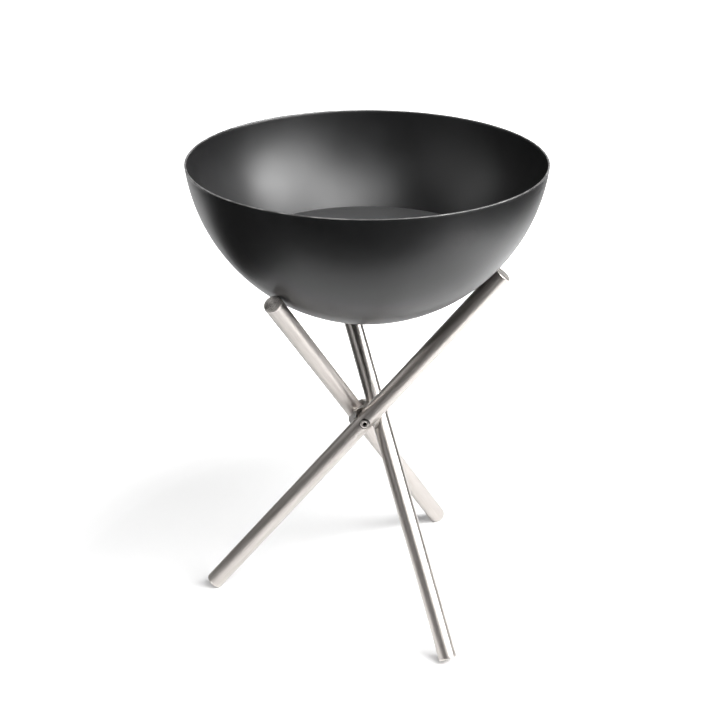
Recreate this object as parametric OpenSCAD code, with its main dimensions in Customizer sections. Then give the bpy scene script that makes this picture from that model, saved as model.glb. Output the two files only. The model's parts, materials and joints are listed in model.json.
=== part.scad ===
// Fire bowl resting loosely on a folding stand of three crossed tubes.
// Millimetres, +Z up. The origin is on the floor, on the axis of the bowl and the hub.

/* [Bowl] */
// Outside diameter of the bowl at its rim
bowl_d = 570; // [550:5:620]
// Outside depth of the bowl from rim to lowest point
bowl_depth = 257; // [240:1:265]
// Wall thickness of the bowl
bowl_t = 3; // [2:0.5:4]
// Diameter of the loose fire plate inside the bowl
plate_d = 431; // [320:1:450]
// Thickness of the fire plate
plate_t = 3; // [2:0.5:5]

/* [Legs] */
// Outside diameter of the leg tubes
tube_d = 30; // [29:0.5:31]
// Wall thickness of the leg tubes
tube_t = 2; // [1.5:0.5:2.5]
// Lean of each leg from upright when the stand is open, in degrees
lean = 39; // [34:0.5:40]
// Length of a leg below its pivot
leg_below = 426; // [380:1:430]
// Length of a leg above its pivot
leg_above = 348; // [320:1:355]
// Thickness of the end caps outside the tube
cap_t = 3; // [2.5:0.5:5]
// Rounding of the end caps' edges
cap_round = 1.5; // [1:0.25:2]

/* [Hub] */
// Distance from the hub's axis to the centre line of each tube
pivot_r = 22; // [22:0.5:24]
// Size of the hub's hexagon across its flats
hub_af = 52; // [51:1:56]
// Height of the hub
hub_h = 32; // [28:1:36]
// Diameter of the pivot bosses on the hub
boss_d = 14; // [12:0.5:14]
// Diameter of the screw heads
head_d = 16; // [15:0.5:16]
// Height of the screw heads
head_h = 7; // [6:0.5:7]
// Hexagon socket of the screws across its flats
socket_af = 6; // [4:1:6]
// Diameter of the screws' threads
thread_d = 8; // [6:1:8]

/* [Hidden] */
$fn = 96;

// Clearances: fixed joints, resting contacts, turning fits and end float
fixed_gap = 0.02;
rest_gap = 0.02;
turn_gap = 0.05;
float_gap = 0.1;

// Each leg's pivot points away from the hub's axis in one of these directions
heading_a = -90;
heading_b = 30;
heading_c = 150;
headings = [heading_a, heading_b, heading_c];

tube_r = tube_d / 2;
sleeve_d = head_d + 3;
head_recess_d = head_d + 0.6;
// The sleeve's outer end is level with the tube's wall at the two sides of its hole
sleeve_out = sqrt(pow(tube_r, 2) - pow(sleeve_d / 2, 2)) - 0.3;
head_out = tube_r - 0.5;
head_seat = head_out - head_h;
washer_t = 1;
spot_face = tube_r + washer_t + turn_gap;
leg_room = tube_r + 0.5;
// The bosses start inside the hub's core, clear of its axis
boss_root = 3 - pivot_r;

// The feet stand on the rounded edges of their caps
pivot_z = (leg_below - cap_round) * cos(lean) + (tube_r - cap_round) * sin(lean) + cap_round;

// The bowl is a part of a sphere, and it rests on the rounded edges of the top caps.
// bowl_rise is the height of its centre over the pivots. It is where the distance to the middle of
// a cap's rounding equals seat_reach, found by repeating the formula until it settles.
bowl_r = (pow(bowl_d / 2, 2) + pow(bowl_depth, 2)) / (2 * bowl_depth);
seat_reach = bowl_r + cap_round + rest_gap;
seat_up = leg_above - cap_round;
seat_side = tube_r - cap_round;
function rise(guess, steps) =
    steps == 0
        ? guess
        : rise(
            seat_up * cos(lean) + sqrt(
                pow(seat_reach, 2) + 2 * seat_side * norm([pivot_r, guess * sin(lean)])
                - pow(seat_side, 2) - pow(pivot_r, 2) - pow(seat_up * sin(lean), 2)
            ),
            steps - 1
        );
bowl_rise = rise(bowl_r + seat_up / 2, 40);
bowl_z = pivot_z + bowl_rise;
rim_z = bowl_z - bowl_r + bowl_depth;
inner_r = bowl_r - bowl_t;
plate_z = bowl_z - sqrt(pow(inner_r, 2) - pow(plate_d / 2 + rest_gap, 2));

// Places its children at a pivot, with X along the pivot away from the hub
module at_pivot(heading) {
    rotate([0, 0, heading]) translate([pivot_r, 0, pivot_z]) children();
}

// Places its children on an open leg, with Z up along its tube
module on_leg(heading) {
    at_pivot(heading) rotate([-lean, 0, 0]) children();
}

// A round bar along the pivot, from one distance to another from the tube's centre line
module along_pivot(d, from, to) {
    translate([from, 0, 0]) rotate([0, 90, 0]) cylinder(d = d, h = to - from);
}

module bowl_shell() {
    color("dimgray") translate([0, 0, bowl_z]) difference() {
        sphere(r = bowl_r);
        sphere(r = inner_r);
        translate([-bowl_r, -bowl_r, rim_z - bowl_z]) cube(2 * bowl_r);
    }
}

module fire_plate() {
    color("gray") translate([0, 0, plate_z]) cylinder(d = plate_d, h = plate_t);
}

// The hexagon bar, turned at both ends so that its corners are chamfered
module hub_bar() {
    turned_d = hub_af + 2;
    bevel = (hub_af / cos(30) - turned_d) / 2;
    intersection() {
        cylinder(d = hub_af / cos(30), h = hub_h, center = true, $fn = 6);
        union() {
            cylinder(d = 2 * hub_af, h = hub_h - 2 * bevel, center = true);
            for (side = [0, 1]) {
                mirror([0, 0, side]) translate([0, 0, hub_h / 2 - bevel])
                    cylinder(d1 = turned_d + 2 * bevel, d2 = turned_d, h = bevel);
            }
        }
    }
}

// The space that a tube passes through as it folds from its open lean to upright
module fold_room() {
    reach = 2 * hub_h;
    wedge_r = tube_r + 0.2;
    rotate([-lean, 0, 0]) cylinder(r = leg_room, h = 2 * reach, center = true);
    cylinder(r = leg_room, h = 2 * reach, center = true);
    translate([-wedge_r, 0, 0]) rotate([90, 0, 90]) linear_extrude(height = 2 * wedge_r) {
        polygon([[0, 0], [reach * sin(lean), reach * cos(lean)], [0, reach]]);
        polygon([[0, 0], [-reach * sin(lean), -reach * cos(lean)], [0, -reach]]);
    }
    along_pivot(sleeve_d + 2, -spot_face, 0);
}

module hub_block() {
    color("darkgray") difference() {
        union() {
            difference() {
                translate([0, 0, pivot_z]) hub_bar();
                for (heading = headings) at_pivot(heading) fold_room();
            }
            for (heading = headings) at_pivot(heading) along_pivot(boss_d, boss_root, head_seat);
        }
        for (heading = headings) {
            at_pivot(heading) along_pivot(thread_d + 2 * fixed_gap, -pivot_r / 2, head_seat + 1);
        }
    }
}

module tube(heading) {
    top = leg_above - cap_t;
    bottom = leg_below - cap_t;
    color("silver") on_leg(heading) difference() {
        translate([0, 0, -bottom]) cylinder(d = tube_d, h = top + bottom);
        translate([0, 0, -bottom - 1]) cylinder(d = tube_d - 2 * tube_t, h = top + bottom + 2);
        along_pivot(sleeve_d + 2 * fixed_gap, -tube_d, tube_d);
    }
}

// An end cap with its face at the origin, its edge rounded and its plug reaching down into the tube
module end_cap() {
    plug_h = 10;
    color("gainsboro") {
        translate([0, 0, -cap_t]) cylinder(d = tube_d - 2 * cap_round, h = cap_t);
        translate([0, 0, -cap_t]) cylinder(d = tube_d, h = cap_t - cap_round);
        translate([0, 0, -cap_round]) rotate_extrude() translate([tube_r - cap_round, 0]) circle(r = cap_round);
        translate([0, 0, -cap_t - plug_h]) cylinder(d = tube_d - 2 * tube_t - 2 * fixed_gap, h = plug_h + 0.5);
    }
}

module top_cap(heading) {
    on_leg(heading) translate([0, 0, leg_above]) end_cap();
}

module foot_cap(heading) {
    on_leg(heading) translate([0, 0, -leg_below]) mirror([0, 0, 1]) end_cap();
}

module pivot_sleeve(heading) {
    shoulder = head_seat - float_gap;
    color("silver") on_leg(heading) difference() {
        along_pivot(sleeve_d, -tube_r, sleeve_out);
        along_pivot(boss_d + 2 * turn_gap, -tube_d, shoulder + 0.01);
        along_pivot(head_recess_d, shoulder, tube_d);
    }
}

module pivot_screw(heading) {
    socket_depth = 0.6 * head_h;
    color("slategray") at_pivot(heading) difference() {
        union() {
            along_pivot(head_d, head_seat, head_out);
            along_pivot(thread_d, -pivot_r / 2 + 1, head_seat + 0.01);
        }
        translate([head_out - socket_depth, 0, 0]) rotate([0, 90, 0])
            cylinder(d = socket_af / cos(30), h = head_h, $fn = 6);
    }
}

module thrust_washer(heading) {
    color("lightgray") on_leg(heading) difference() {
        along_pivot(sleeve_d, -tube_r - washer_t, -tube_r);
        along_pivot(boss_d + 2 * turn_gap, -tube_d, 0);
    }
}

bowl_shell();
fire_plate();
hub_block();
tube(heading_a);  // tube_a
tube(heading_b);  // tube_b
tube(heading_c);  // tube_c
top_cap(heading_a);  // top_cap_a
top_cap(heading_b);  // top_cap_b
top_cap(heading_c);  // top_cap_c
foot_cap(heading_a);  // foot_cap_a
foot_cap(heading_b);  // foot_cap_b
foot_cap(heading_c);  // foot_cap_c
pivot_sleeve(heading_a);  // pivot_sleeve_a
pivot_sleeve(heading_b);  // pivot_sleeve_b
pivot_sleeve(heading_c);  // pivot_sleeve_c
pivot_screw(heading_a);  // pivot_screw_a
pivot_screw(heading_b);  // pivot_screw_b
pivot_screw(heading_c);  // pivot_screw_c
thrust_washer(heading_a);  // thrust_washer_a
thrust_washer(heading_b);  // thrust_washer_b
thrust_washer(heading_c);  // thrust_washer_c
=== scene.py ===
"""Looks for a fire bowl on a folding stand of three crossed tubes. Metres, in the CAD's own frame."""
import json
import math

import bmesh
import bpy
from mathutils import Matrix, Vector


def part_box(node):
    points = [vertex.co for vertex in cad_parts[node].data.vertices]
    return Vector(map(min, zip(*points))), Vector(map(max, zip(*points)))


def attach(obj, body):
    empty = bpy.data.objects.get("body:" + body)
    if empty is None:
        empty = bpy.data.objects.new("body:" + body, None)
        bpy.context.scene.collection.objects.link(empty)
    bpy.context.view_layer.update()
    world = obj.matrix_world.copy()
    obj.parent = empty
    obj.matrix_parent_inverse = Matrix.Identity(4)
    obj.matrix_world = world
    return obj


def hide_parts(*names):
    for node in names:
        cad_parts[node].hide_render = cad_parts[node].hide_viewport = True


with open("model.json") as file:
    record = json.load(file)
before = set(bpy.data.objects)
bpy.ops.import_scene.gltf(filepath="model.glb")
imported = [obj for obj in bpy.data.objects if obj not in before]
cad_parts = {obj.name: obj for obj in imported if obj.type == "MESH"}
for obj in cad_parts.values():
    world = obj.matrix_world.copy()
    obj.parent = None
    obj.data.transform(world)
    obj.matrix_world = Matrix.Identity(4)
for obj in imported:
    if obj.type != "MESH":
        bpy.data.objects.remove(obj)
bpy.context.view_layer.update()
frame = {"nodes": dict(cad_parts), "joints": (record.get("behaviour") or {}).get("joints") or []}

LEGS = ("a", "b", "c")
JOINTS = {joint["name"]: joint for joint in frame["joints"]}

# ---------------------------------------------------------------- sizes, worked out from the CAD frame
# Walls, roundings and clearances, which no box in the frame shows, are given here as they are in the CAD.

bowl_low, bowl_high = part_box("bowl_shell")
RIM_R = (bowl_high.x - bowl_low.x) / 2
RIM_Z = bowl_high.z
BOWL_DEPTH = bowl_high.z - bowl_low.z
BOWL_R = (RIM_R ** 2 + BOWL_DEPTH ** 2) / (2 * BOWL_DEPTH)
BOWL_Z = bowl_low.z + BOWL_R
BOWL_T = 0.003
BOWL_LIP = 0.0011

plate_low, plate_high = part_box("fire_plate")
PLATE_R = (plate_high.x - plate_low.x) / 2

LEAN = math.radians(JOINTS["leg_a_fold"]["range_deg"][1])
PIVOT_Z = JOINTS["leg_a_fold"]["pos_m"][2]
tube_low, tube_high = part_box("tube_a")
PIVOT_R = -(tube_low.y + tube_high.y) / 2
TUBE_R = (tube_high.y - tube_low.y) / 2
TUBE_T = 0.002
CAP_T = 0.003
CAP_ROUND = 0.0015
PLUG_H = 0.010
FIXED_GAP = 0.00002

CAP_REACH = (TUBE_R - CAP_ROUND) * math.cos(LEAN) + CAP_ROUND
LEG_ABOVE = (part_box("top_cap_a")[1].x - CAP_REACH) / math.sin(LEAN) + CAP_ROUND
LEG_BELOW = (-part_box("foot_cap_a")[0].x - CAP_REACH) / math.sin(LEAN) + CAP_ROUND

screw_low, screw_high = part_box("pivot_screw_a")
HEAD_R = (screw_high.x - screw_low.x) / 2
HEAD_OUT = -screw_low.y - PIVOT_R
HEAD_H = 0.007
SOCKET_R = 0.003 / math.cos(math.radians(30))
SOCKET_DEPTH = 0.6 * HEAD_H
SOCKET_RIM = 0.0006
SOCKET_LEAD_IN = 0.0004
DRILL_POINT = 0.0008
SLEEVE_R = HEAD_R + 0.0015
RECESS_R = HEAD_R + 0.0003
SLEEVE_OUT = math.sqrt(TUBE_R ** 2 - SLEEVE_R ** 2) - 0.0003
SLEEVE_BORE = 0.00705
FLOAT_GAP = 0.0001
WASHER_T = 0.001
SHANK_R = 0.004
THREAD_PITCH = 0.00125
THREAD_DEPTH = 0.0006

# How many flats a turned piece has round it, and the radius below which a point counts as on its axis
BOWL_STEPS = 256
PLATE_STEPS = 192
TUBE_STEPS = 128
SMALL_STEPS = 96
ON_AXIS = 1e-7

# ---------------------------------------------------------------- the stage's sizes

# The paper under the object, cut back in front and on the left, where the room behind the camera is dark
PAPER = [(-0.55, -0.55), (1.1, -0.55), (1.1, 2.5), (-1.6, 2.5), (-1.6, 0.75), (-0.55, 0.75)]
PAPER_T = 0.0005
FLOOR_REACH = 45.0
DOME_R = 40.0

# Each soft light's name, bearing from the front, height angle, width, height and power. A bank of them
# stands on the right, softer ones in front, weak ones on the left and a wide low one behind.
SOFT_BOXES = [
    ("right_box", 90, 32, 1.4, 1.4, 92),
    ("front_right_box", 70, 32, 1.4, 1.4, 60),
    ("front_mid_box", 50, 32, 1.4, 1.4, 28),
    ("high_right_box", 70, 55, 1.4, 1.4, 22),
    ("high_mid_box", 50, 55, 1.4, 1.4, 40),
    ("high_front_box", 30, 55, 1.4, 1.4, 36),
    ("front_box", 0, 55, 1.4, 1.4, 28),
    ("left_box", 270, 30, 1.4, 1.4, 4),
    ("left_wide_box", 285, 30, 4.0, 1.4, 16),
    ("back_box", 185, 17, 5.0, 2.0, 18),
]
LAMP_DISTANCE = 3.2
LAMP_CENTRE = Vector((0, 0, 0.5))
LAMP_AIM = Vector((0, 0, 0.6))

# ---------------------------------------------------------------- placing


def heading(leg):
    """The direction, seen from above, in which a leg's pivot points."""
    axis = JOINTS["leg_%s_fold" % leg]["axis"]
    return math.atan2(axis[1], axis[0])


def at_pivot(leg):
    """X along the pivot away from the hub, Z up, origin on the tube's centre line."""
    return Matrix.Rotation(heading(leg), 4, "Z") @ Matrix.Translation((PIVOT_R, 0, PIVOT_Z))


def on_leg(leg):
    """As at_pivot, with Z along the open leg's tube."""
    return at_pivot(leg) @ Matrix.Rotation(-LEAN, 4, "X")


def turned_out(place):
    """Turns a lathed piece so that its own Z runs along the pivot, away from the hub."""
    return place @ Matrix.Rotation(math.radians(90), 4, "Y")


# ---------------------------------------------------------------- meshes


def link_object(name, data):
    """Makes an object of a mesh, a light or a camera, and links it to the scene."""
    thing = bpy.data.objects.new(name, data)
    bpy.context.scene.collection.objects.link(thing)
    return thing


def add_piece(name, mesh, sharp_from, material, place, body, node):
    """Finishes a mesh, hangs it on the body it rides on, and hides the CAD node it stands for."""
    shade(mesh, sharp_from)
    mesh.materials.append(material)
    piece = link_object(name, mesh)
    piece.matrix_world = place
    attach(piece, body)
    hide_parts(node)


def shade(mesh, angle):
    """Smooth shading, with edges sharper than the angle kept sharp."""
    for face in mesh.polygons:
        face.use_smooth = True
    mesh.set_sharp_from_angle(angle=math.radians(angle))


def lathe(name, profile, steps, closed):
    """Turns a profile of (radius, height) points round Z.

    A closed profile makes a ring. An open one starts and ends on the axis.
    """
    work = bmesh.new()
    rings = []
    for radius, height in profile:
        rings.append(round_ring(work, steps, height, radius))
    if closed:
        rings.append(rings[0])
    join_rings(work, rings, steps)
    return finish_mesh(work, name)


def round_ring(work, steps, height, radius):
    """One round ring of points, or a single point where the radius is nothing."""
    if radius < ON_AXIS:
        return [work.verts.new((0, 0, height))]
    return shaped_ring(work, steps, height, lambda turn: radius)


def shaped_ring(work, steps, height, radius_at):
    """One ring of points, whose radius may depend on the direction."""
    ring = []
    for step in range(steps):
        turn = 2 * math.pi * step / steps
        radius = radius_at(turn)
        ring.append(work.verts.new((radius * math.cos(turn), radius * math.sin(turn), height)))
    return ring


def join_rings(work, rings, steps):
    """Fills the band between each ring and the next, or the fan between a ring and a point."""
    for first, second in zip(rings, rings[1:]):
        for step in range(steps):
            after = (step + 1) % steps
            if len(first) == 1:
                work.faces.new((first[0], second[after], second[step]))
            elif len(second) == 1:
                work.faces.new((first[step], first[after], second[0]))
            else:
                work.faces.new((first[step], first[after], second[after], second[step]))


def finish_mesh(work, name):
    """Makes the mesh's faces point outwards and hands it over."""
    bmesh.ops.recalc_face_normals(work, faces=work.faces)
    mesh = bpy.data.meshes.new(name)
    work.to_mesh(mesh)
    work.free()
    return mesh


def arc(centre, radius, start, end, count):
    """Points on an arc in (radius, height), with angles in degrees from straight out."""
    points = []
    for i in range(count + 1):
        turn = math.radians(start + (end - start) * i / count)
        points.append((centre[0] + radius * math.cos(turn), centre[1] + radius * math.sin(turn)))
    return points


# ---------------------------------------------------------------- materials


class Paint:
    """A short way to write a node material: each call adds a node and returns its output."""

    def __init__(self, name):
        self.material = bpy.data.materials.new(name)
        self.material.use_nodes = True
        self.tree = self.material.node_tree
        self.shader = self.tree.nodes["Principled BSDF"]
        self.coords = self.tree.nodes.new("ShaderNodeTexCoord").outputs["Object"]

    def node(self, kind, **settings):
        made = self.tree.nodes.new(kind)
        for key, value in settings.items():
            setattr(made, key, value)
        return made

    def link(self, output, target):
        self.tree.links.new(output, target)

    def scaled(self, scale):
        mapping = self.node("ShaderNodeMapping")
        mapping.inputs["Scale"].default_value = scale
        self.link(self.coords, mapping.inputs["Vector"])
        return mapping.outputs["Vector"]

    def noise(self, scale, detail=4.0, stretch=(1, 1, 1), roughness=0.5):
        made = self.node("ShaderNodeTexNoise")
        made.inputs["Scale"].default_value = scale
        made.inputs["Detail"].default_value = detail
        made.inputs["Roughness"].default_value = roughness
        self.link(self.scaled(stretch), made.inputs["Vector"])
        return made.outputs["Fac"]

    def ramp(self, value, stops):
        """Maps a value to a colour or a grey through (place, grey or colour) stops."""
        made = self.node("ShaderNodeValToRGB")
        band = made.color_ramp
        while len(band.elements) < len(stops):
            band.elements.new(0.5)
        for element, (place, colour) in zip(band.elements, stops):
            element.position = place
            element.color = (*colour, 1) if isinstance(colour, tuple) else (colour, colour, colour, 1)
        self.link(value, made.inputs["Fac"])
        return made.outputs["Color"]

    def tones(self, noise, low, high):
        """Spreads a noise, which mostly lies from 0.3 to 0.7, over two tones."""
        return self.ramp(noise, [(0.3, low), (0.7, high)])

    def mix(self, share, first, second):
        """Blends two colours, either of which may be an output or a fixed colour."""
        made = self.node("ShaderNodeMix", data_type="RGBA")
        self.link(share, made.inputs["Factor"])
        for socket, value in ((made.inputs["A"], first), (made.inputs["B"], second)):
            self.put(socket, value)
        return made.outputs["Result"]

    def math(self, operation, first, second=0.0):
        made = self.node("ShaderNodeMath", operation=operation)
        for socket, value in ((made.inputs[0], first), (made.inputs[1], second)):
            self.put(socket, value)
        return made.outputs["Value"]

    def put(self, socket, value):
        if isinstance(value, bpy.types.NodeSocket):
            self.link(value, socket)
        elif isinstance(value, tuple):
            socket.default_value = (*value, 1)
        else:
            socket.default_value = value

    def axis_distance(self):
        """Distance from the piece's own Z axis, in metres."""
        made = self.node("ShaderNodeVectorMath", operation="LENGTH")
        self.link(self.scaled((1, 1, 0)), made.inputs[0])
        return made.outputs["Value"]

    def spread(self, value, start, end, low=0.0, high=1.0):
        """Carries a value smoothly from low to high while it goes from start to end."""
        made = self.node("ShaderNodeMapRange", interpolation_type="SMOOTHSTEP")
        limits = (("From Min", start), ("From Max", end), ("To Min", low), ("To Max", high))
        for socket, limit in limits:
            made.inputs[socket].default_value = limit
        self.link(value, made.inputs["Value"])
        return made.outputs["Result"]

    def above(self, start, end):
        """A value that goes from 0 to 1 between two heights over the piece's own origin."""
        split = self.node("ShaderNodeSeparateXYZ")
        self.link(self.coords, split.inputs["Vector"])
        return self.spread(split.outputs["Z"], start, end)

    def current(self, socket):
        """What the shader's socket is linked to now."""
        return self.shader.inputs[socket].links[0].from_socket

    def bump(self, height, strength, distance, under=None):
        made = self.node("ShaderNodeBump")
        made.inputs["Strength"].default_value = strength
        made.inputs["Distance"].default_value = distance
        self.link(height, made.inputs["Height"])
        if under is not None:
            self.link(under, made.inputs["Normal"])
        return made.outputs["Normal"]

    def soft_edges(self, radius):
        made = self.node("ShaderNodeBevel")
        made.samples = 8
        made.inputs["Radius"].default_value = radius
        return made.outputs["Normal"]

    def radial_tangent(self):
        """Makes the shader's grain direction run round the piece's own Z axis."""
        made = self.node("ShaderNodeTangent", direction_type="RADIAL", axis="Z")
        self.link(made.outputs["Tangent"], self.shader.inputs["Tangent"])

    def raised_edges(self, low, high):
        """How far a surface lies on a raised edge, from 0 to 1."""
        made = self.node("ShaderNodeNewGeometry")
        return self.ramp(made.outputs["Pointiness"], [(low, 0.0), (high, 1.0)])

    def set(self, **sockets):
        for name, value in sockets.items():
            self.put(self.shader.inputs[name.replace("_", " ")], value)


def coating(name, shade_low, shade_high, rough_low, rough_high):
    """Heat-resistant satin coating: a fine open grain, soft cloudy patches and a little dust."""
    paint = Paint(name)
    clouds = paint.noise(9.0, detail=5.0)
    grain = paint.noise(900.0, detail=2.0)
    colour = paint.tones(clouds, shade_low, shade_high)
    dust = paint.ramp(paint.noise(260.0, detail=6.0, roughness=0.7), [(0.66, 0.0), (0.82, 1.0)])
    dusted = paint.mix(paint.math("MULTIPLY", dust, 0.08), colour, (0.10, 0.097, 0.093))
    rough = paint.tones(clouds, rough_low, rough_high)
    normal = paint.bump(grain, 0.12, 0.0002)
    paint.set(Base_Color=dusted, Roughness=rough, Normal=paint.bump(clouds, 0.05, 0.004, normal))
    paint.set(Specular_IOR_Level=0.5, IOR=1.5)
    return paint


def brushed_steel(name, dark, light, rough_low, rough_high):
    """Stainless tube brushed along its length: long fine scratches and faint smears."""
    paint = Paint(name)
    scratches = paint.noise(1400.0, detail=3.0, stretch=(1, 1, 0.012), roughness=0.6)
    smears = paint.noise(60.0, detail=4.0, stretch=(1, 1, 0.12))
    colour = paint.tones(scratches, dark, light)
    smeared = paint.mix(paint.math("MULTIPLY", smears, 0.3), colour, dark)
    marks = paint.math("ADD", paint.math("MULTIPLY", scratches, 0.6), paint.math("MULTIPLY", smears, 0.4))
    rough = paint.tones(marks, rough_low, rough_high)
    paint.set(Base_Color=smeared, Roughness=rough, Normal=paint.bump(scratches, 0.10, 0.0001))
    paint.set(Metallic=1.0, Anisotropic=0.6, Anisotropic_Rotation=0.25)
    paint.radial_tangent()
    return paint


def turned_steel(name, dark, light, rough_low, rough_high):
    """Steel faced on a lathe: fine rings about the piece's own axis."""
    paint = Paint(name)
    distance = paint.axis_distance()
    rings = paint.node("ShaderNodeTexNoise", noise_dimensions="1D")
    rings.inputs["Scale"].default_value = 3200.0
    rings.inputs["Detail"].default_value = 3.0
    paint.link(distance, rings.inputs["W"])
    ring = rings.outputs["Fac"]
    patches = paint.noise(120.0, detail=3.0)
    ringed = paint.tones(ring, dark, light)
    colour = paint.mix(paint.math("MULTIPLY", patches, 0.4), ringed, dark)
    rough = paint.tones(ring, rough_low, rough_high)
    paint.set(Base_Color=colour, Roughness=rough, Normal=paint.bump(ring, 0.16, 0.00008))
    paint.set(Metallic=1.0, Anisotropic=0.85)
    paint.radial_tangent()
    return paint


def screw_paint():
    """Turned steel with painted shade: it darkens with depth inside the socket and down the side of the
    head.
    """
    paint = turned_steel("turned_screw", (0.46, 0.435, 0.41), (0.60, 0.57, 0.54), 0.26, 0.38)
    on_top = paint.above(HEAD_OUT - 0.0022, HEAD_OUT - 0.0009)
    # Painted shade: near-black colour deep in the socket and down the side of the head, where shade falls.
    socket_shade = paint.tones(paint.noise(400.0), (0.008, 0.007, 0.006), (0.03, 0.027, 0.024))
    paint.set(Base_Color=paint.mix(on_top, socket_shade, paint.current("Base Color")))
    return paint


def blasted_steel(name, dark, light):
    """Bead-blasted stainless: even matte pits, with lighter edges that are part wear, part painted
    highlight.
    """
    paint = Paint(name)
    pits = paint.noise(1800.0, detail=3.0, roughness=0.7)
    patches = paint.noise(70.0, detail=3.0)
    colour = paint.tones(patches, dark, light)
    # Lighter colour on raised edges: part wear, part painted highlight.
    rubbed_and_highlit = paint.mix(paint.raised_edges(0.53, 0.62), colour, (0.62, 0.59, 0.56))
    rough = paint.tones(pits, 0.26, 0.40)
    normal = paint.bump(pits, 0.15, 0.0001, paint.soft_edges(0.0004))
    paint.set(Base_Color=rubbed_and_highlit, Roughness=rough, Normal=normal, Metallic=1.0)
    return paint


# ---------------------------------------------------------------- the bowl and its plate


def bowl_material():
    """The coating, worn smoother along the rim's top edge, and brighter there: part chipped wear, part
    painted highlight.
    """
    paint = coating("satin_black_bowl", (0.0030, 0.0030, 0.0033), (0.0050, 0.0050, 0.0054), 0.35, 0.42)
    rim_z = RIM_Z - BOWL_Z
    on_rim = paint.above(rim_z - 0.0016, rim_z - 0.0004)
    # A brighter chipped band on the rim: part wear, part painted highlight.
    chips = paint.ramp(paint.noise(45.0, detail=6.0), [(0.45, 0.35), (0.62, 1.0)])
    rubbed_and_highlit = paint.math("MULTIPLY", on_rim, chips)
    paint.set(
        Base_Color=paint.mix(rubbed_and_highlit, paint.current("Base Color"), (0.16, 0.158, 0.156)),
        Roughness=paint.mix(on_rim, paint.current("Roughness"), (0.22, 0.22, 0.22)),
    )
    return paint.material


def plate_material():
    """The same coating in graphite, with a dull metallic sheen."""
    paint = coating("satin_graphite_plate", (0.20, 0.20, 0.204), (0.235, 0.235, 0.24), 0.38, 0.44)
    paint.set(Metallic=0.8)
    return paint.material


def make_bowl():
    """A spun shell with a rounded rim, closed inside and out."""
    inner = BOWL_R - BOWL_T
    rim_z = RIM_Z - BOWL_Z
    lip_z = rim_z - BOWL_LIP
    outer_turn = math.degrees(math.asin(lip_z / BOWL_R))
    inner_turn = math.degrees(math.asin(lip_z / inner))
    outer_lip = (RIM_R - BOWL_LIP, lip_z)
    inner_lip = (math.sqrt(inner ** 2 - rim_z ** 2) + BOWL_LIP, lip_z)
    profile = arc((0, 0), BOWL_R, -90, outer_turn, 110)
    profile += arc(outer_lip, BOWL_LIP, 12, 90, 6)
    profile += arc(inner_lip, BOWL_LIP, 90, 168, 6)
    profile += arc((0, 0), inner, inner_turn, -90, 110)
    mesh = lathe("bowl", profile, BOWL_STEPS, closed=False)
    place = Matrix.Translation((0, 0, BOWL_Z))
    add_piece("bowl", mesh, 50, bowl_material(), place, "bowl", "bowl_shell")


def make_plate():
    """A flat disc with rounded edges."""
    thick = plate_high.z - plate_low.z
    edge = 0.0009
    profile = [(0.0, 0.0), (PLATE_R * 0.5, 0.0), (PLATE_R - edge, 0.0)]
    profile += arc((PLATE_R - edge, edge), edge, -90, 0, 5)[1:]
    profile += arc((PLATE_R - edge, thick - edge), edge, 0, 90, 5)
    profile += [(PLATE_R * 0.5, thick), (0.0, thick)]
    mesh = lathe("plate", profile, PLATE_STEPS, closed=False)
    place = Matrix.Translation((0, 0, plate_low.z))
    add_piece("plate", mesh, 35, plate_material(), place, "plate", "fire_plate")


# ---------------------------------------------------------------- the legs


def make_tube(leg, material):
    """A tube with the sleeve's hole cut through both walls and its ends faced square."""
    inner = TUBE_R - TUBE_T
    low = -LEG_BELOW + CAP_T
    high = LEG_ABOVE - CAP_T
    profile = [(TUBE_R, low), (TUBE_R, high), (inner, high), (inner, low)]
    mesh = lathe("tube_%s_look" % leg, profile, TUBE_STEPS, closed=True)
    reach = TUBE_R + 0.005
    cut_profile = [(0.0, -reach), (SLEEVE_R, -reach), (SLEEVE_R, reach), (0.0, reach)]
    cut_hole(mesh, lathe("cutter_" + leg, cut_profile, SMALL_STEPS, closed=False))
    add_piece("leg_tube_" + leg, mesh, 30, material, on_leg(leg), "leg_" + leg, "tube_" + leg)


def cut_hole(mesh, cutter_mesh):
    """Cuts a lathed cutter, turned to lie along X, out of a mesh, and leaves the result in the mesh."""
    body = link_object("cut_body", mesh)
    cutter = link_object("cutter", cutter_mesh)
    cutter.matrix_world = Matrix.Rotation(math.radians(90), 4, "Y")
    cut = body.modifiers.new("hole", "BOOLEAN")
    cut.operation = "DIFFERENCE"
    cut.solver = "EXACT"
    cut.object = cutter
    bpy.context.view_layer.update()
    result = bpy.data.meshes.new_from_object(body.evaluated_get(bpy.context.evaluated_depsgraph_get()))
    work = bmesh.new()
    work.from_mesh(result)
    work.to_mesh(mesh)
    work.free()
    for thing in (body, cutter):
        bpy.data.objects.remove(thing)
    for spare in (cutter_mesh, result):
        bpy.data.meshes.remove(spare)


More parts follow.
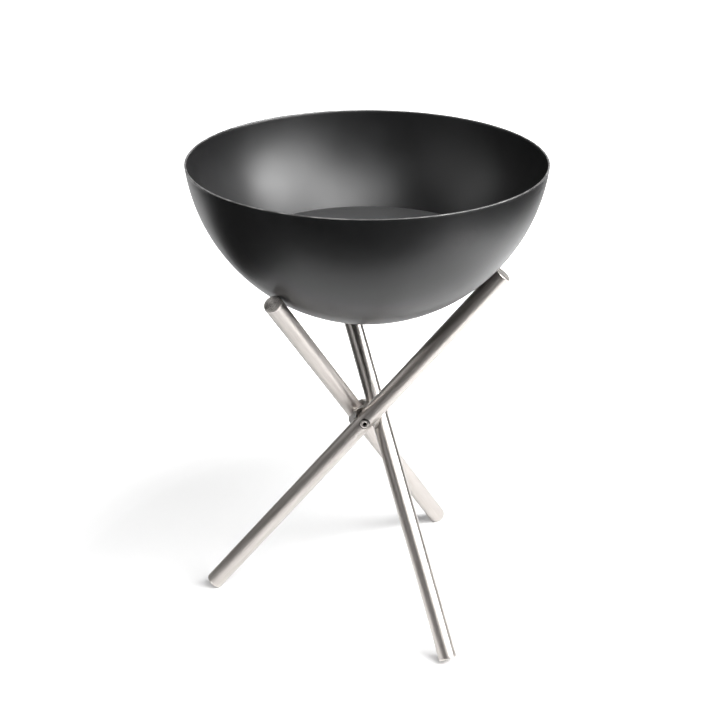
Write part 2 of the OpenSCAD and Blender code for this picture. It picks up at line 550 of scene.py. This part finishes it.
def make_cap(leg, end, material):
    """A turned end cap: a flat face with a rounded edge, and a plug inside the tube."""
    plug_r = TUBE_R - TUBE_T - FIXED_GAP
    back_edge = 0.0002
    profile = [(0.0, 0.0), (TUBE_R * 0.3, 0.0), (TUBE_R * 0.6, 0.0), (TUBE_R - CAP_ROUND, 0.0)]
    profile += arc((TUBE_R - CAP_ROUND, -CAP_ROUND), CAP_ROUND, 90, 0, 8)[1:]
    profile += [(TUBE_R, -CAP_T + back_edge), (TUBE_R - back_edge, -CAP_T)]
    profile += [(plug_r, -CAP_T), (plug_r, -CAP_T - PLUG_H), (0.0, -CAP_T - PLUG_H)]
    mesh = lathe("cap", profile, SMALL_STEPS, closed=False)
    place = on_leg(leg)
    if end == "top":
        place = place @ Matrix.Translation((0, 0, LEG_ABOVE))
    else:
        place = place @ Matrix.Translation((0, 0, -LEG_BELOW)) @ Matrix.Rotation(math.pi, 4, "X")
    name = "%s_end_%s" % (end, leg)
    node = "%s_cap_%s" % (end, leg)
    add_piece(name, mesh, 30, material, place, "leg_" + leg, node)


def make_sleeve(leg, material):
    """A turned bush across the tube, with the recess for the screw's head."""
    shoulder = HEAD_OUT - HEAD_H - FLOAT_GAP
    bevel = 0.0003
    profile = [(SLEEVE_BORE, -TUBE_R), (SLEEVE_R, -TUBE_R), (SLEEVE_R, SLEEVE_OUT - bevel)]
    profile += [(SLEEVE_R - bevel, SLEEVE_OUT), (RECESS_R + bevel, SLEEVE_OUT)]
    profile += [(RECESS_R, SLEEVE_OUT - bevel), (RECESS_R, shoulder), (SLEEVE_BORE, shoulder)]
    mesh = lathe("sleeve", profile, SMALL_STEPS, closed=True)
    place = turned_out(on_leg(leg))
    add_piece("sleeve_" + leg, mesh, 30, material, place, "leg_" + leg, "pivot_sleeve_" + leg)


def make_washer(leg, material):
    """A thin turned washer between the sleeve and the hub."""
    bevel = 0.0002
    low = -TUBE_R - WASHER_T
    profile = [(SLEEVE_BORE, low), (SLEEVE_R - bevel, low), (SLEEVE_R, low + bevel)]
    profile += [(SLEEVE_R, -TUBE_R - bevel), (SLEEVE_R - bevel, -TUBE_R), (SLEEVE_BORE, -TUBE_R)]
    mesh = lathe("washer", profile, SMALL_STEPS, closed=True)
    place = turned_out(on_leg(leg))
    add_piece("washer_" + leg, mesh, 30, material, place, "leg_" + leg,
              "thrust_washer_" + leg)


def hexagon_radius(turn):
    """How far out the socket's hexagon lies in a direction."""
    within = (turn % math.radians(60)) - math.radians(30)
    return SOCKET_R * math.cos(math.radians(30)) / math.cos(within)


def screw_profile():
    """The screw's outline from the shank's tip round to the edge of the socket."""
    seat = HEAD_OUT - HEAD_H
    tip = -PIVOT_R / 2 + 0.001
    tip_bevel = 0.0008
    first_crest = tip + 0.0012
    plain = 0.002
    under_edge = 0.0003
    bevel = 0.0008
    outline = [(0.0, tip), (SHANK_R - tip_bevel, tip), (SHANK_R, tip + tip_bevel)]
    for i in range(int((seat - tip - 2 * plain) / THREAD_PITCH)):
        crest = first_crest + i * THREAD_PITCH
        outline += [(SHANK_R, crest), (SHANK_R - THREAD_DEPTH, crest + THREAD_PITCH / 2)]
    outline += [(SHANK_R, seat - plain), (SHANK_R, seat), (HEAD_R - under_edge, seat)]
    outline += [(HEAD_R, seat + under_edge), (HEAD_R, HEAD_OUT - bevel)]
    outline += [(HEAD_R - bevel * 0.35, HEAD_OUT - bevel * 0.3), (HEAD_R - bevel, HEAD_OUT)]
    outline += [(SOCKET_R + SOCKET_RIM, HEAD_OUT)]
    return outline


def make_screw(leg, material):
    """A socket head screw: bevelled head, lead-in and hexagon socket, and a threaded shank."""
    work = bmesh.new()
    floor = HEAD_OUT - SOCKET_DEPTH
    rings = [round_ring(work, SMALL_STEPS, height, radius) for radius, height in screw_profile()]
    rings.append(shaped_ring(work, SMALL_STEPS, HEAD_OUT - SOCKET_LEAD_IN, hexagon_radius))
    rings.append(shaped_ring(work, SMALL_STEPS, floor, hexagon_radius))
    rings.append(round_ring(work, SMALL_STEPS, floor - DRILL_POINT, 0.0))
    join_rings(work, rings, SMALL_STEPS)
    mesh = finish_mesh(work, "screw")
    add_piece("screw_" + leg, mesh, 28, material, turned_out(at_pivot(leg)), "hub",
              "pivot_screw_" + leg)


# ---------------------------------------------------------------- the stage


def floor_sheet(name, outline, height, material):
    """One flat sheet of the floor, from its outline seen from above."""
    mesh = bpy.data.meshes.new(name)
    mesh.from_pydata([(x, y, height) for x, y in outline], [], [tuple(range(len(outline)))])
    mesh.materials.append(material)
    sheet = link_object(name, mesh)
    return sheet


def make_dome(material):
    """A far white wall all round, which only the camera sees."""
    mesh = lathe("dome", arc((0, 0), DOME_R, -2, 90, 24), 48, closed=False)
    mesh.materials.append(material)
    dome = link_object("dome", mesh)
    dome.visible_diffuse = False
    dome.visible_glossy = False
    dome.visible_shadow = False


def make_floor():
    """A white paper under the object, on a wide floor of the same white that gloss doesn't mirror."""
    paint = Paint("pale_floor")
    paint.set(Base_Color=paint.tones(paint.noise(3.0), 0.78, 0.80), Roughness=0.7)
    # Painted light: the floor glows dimly near the object and fully from a metre out, which washes out the
    # object's cast shadow.
    glow = paint.spread(paint.axis_distance(), 0.45, 1.0, 0.14, 1.0)
    paint.set(Emission_Color=(1.0, 1.0, 1.0), Emission_Strength=glow)
    floor_sheet("paper", PAPER, 0.0, paint.material)
    corners = [(-FLOOR_REACH, -FLOOR_REACH), (FLOOR_REACH, -FLOOR_REACH),
               (FLOOR_REACH, FLOOR_REACH), (-FLOOR_REACH, FLOOR_REACH)]
    wide = floor_sheet("wide_floor", corners, -PAPER_T, paint.material)
    wide.visible_glossy = False
    make_dome(paint.material)


def bearing(azimuth, elevation):
    """The direction towards a place, from its degrees round to the right of the front and its degrees up."""
    around = math.radians(azimuth)
    up = math.radians(elevation)
    return Vector((math.sin(around) * math.cos(up), -math.cos(around) * math.cos(up), math.sin(up)))


def point_at(thing, towards):
    """Turns a light or a camera to look along a direction, with its top upwards."""
    thing.rotation_mode = "QUATERNION"
    thing.rotation_quaternion = towards.to_track_quat("-Z", "Y")


def soft_box(name, azimuth, elevation, width, height, power):
    """A soft rectangular light, aimed at the lower part of the bowl."""
    data = bpy.data.lights.new(name, "AREA")
    data.shape = "RECTANGLE"
    data.size = width
    data.size_y = height
    data.energy = power
    lamp = link_object(name, data)
    lamp.location = bearing(azimuth, elevation) * LAMP_DISTANCE + LAMP_CENTRE
    point_at(lamp, LAMP_AIM - lamp.location)


def make_lights():
    """The soft boxes, in a dim even room."""
    world = bpy.data.worlds.new("studio")
    bpy.context.scene.world = world
    world.use_nodes = True
    background = world.node_tree.nodes["Background"]
    background.inputs["Color"].default_value = (1.0, 1.0, 1.0, 1)
    background.inputs["Strength"].default_value = 0.04
    bpy.context.scene.view_settings.view_transform = "Standard"
    for box in SOFT_BOXES:
        soft_box(*box)


def make_camera():
    """Looks down on the object from about five degrees to the right of leg a's pivot."""
    azimuth = 4.99
    elevation = 24.59
    distance = 2.570
    data = bpy.data.cameras.new("camera")
    data.lens = 77.5
    data.sensor_width = 36.0
    camera = link_object("camera", data)
    back = bearing(azimuth, elevation)
    right = bearing(azimuth + 90, 0)
    target = right * -0.011 + Vector((0, 0, 0.4405))
    camera.location = target + back * distance
    point_at(camera, -back)
    bpy.context.scene.camera = camera


def main():
    make_camera()
    make_bowl()
    make_plate()
    tube_steel = brushed_steel("brushed_tube", (0.49, 0.457, 0.432), (0.63, 0.595, 0.565), 0.31, 0.43)
    cap_steel = turned_steel("turned_cap", (0.62, 0.585, 0.555), (0.78, 0.74, 0.70), 0.22, 0.34)
    sleeve_steel = turned_steel("turned_sleeve", (0.5, 0.48, 0.45), (0.66, 0.64, 0.6), 0.24, 0.38)
    screw_steel = screw_paint()
    washer_steel = turned_steel("turned_washer", (0.4, 0.39, 0.37), (0.52, 0.5, 0.48), 0.3, 0.45)
    hub_steel = blasted_steel("blasted_hub", (0.20, 0.188, 0.176), (0.27, 0.256, 0.243))
    for leg in LEGS:
        make_tube(leg, tube_steel.material)
        make_cap(leg, "top", cap_steel.material)
        make_cap(leg, "foot", cap_steel.material)
        make_sleeve(leg, sleeve_steel.material)
        make_washer(leg, washer_steel.material)
        make_screw(leg, screw_steel.material)
    hub_slot = frame["nodes"]["hub_block"].material_slots[0]
    hub_slot.link = "OBJECT"
    hub_slot.material = hub_steel.material
    make_floor()
    make_lights()


main()
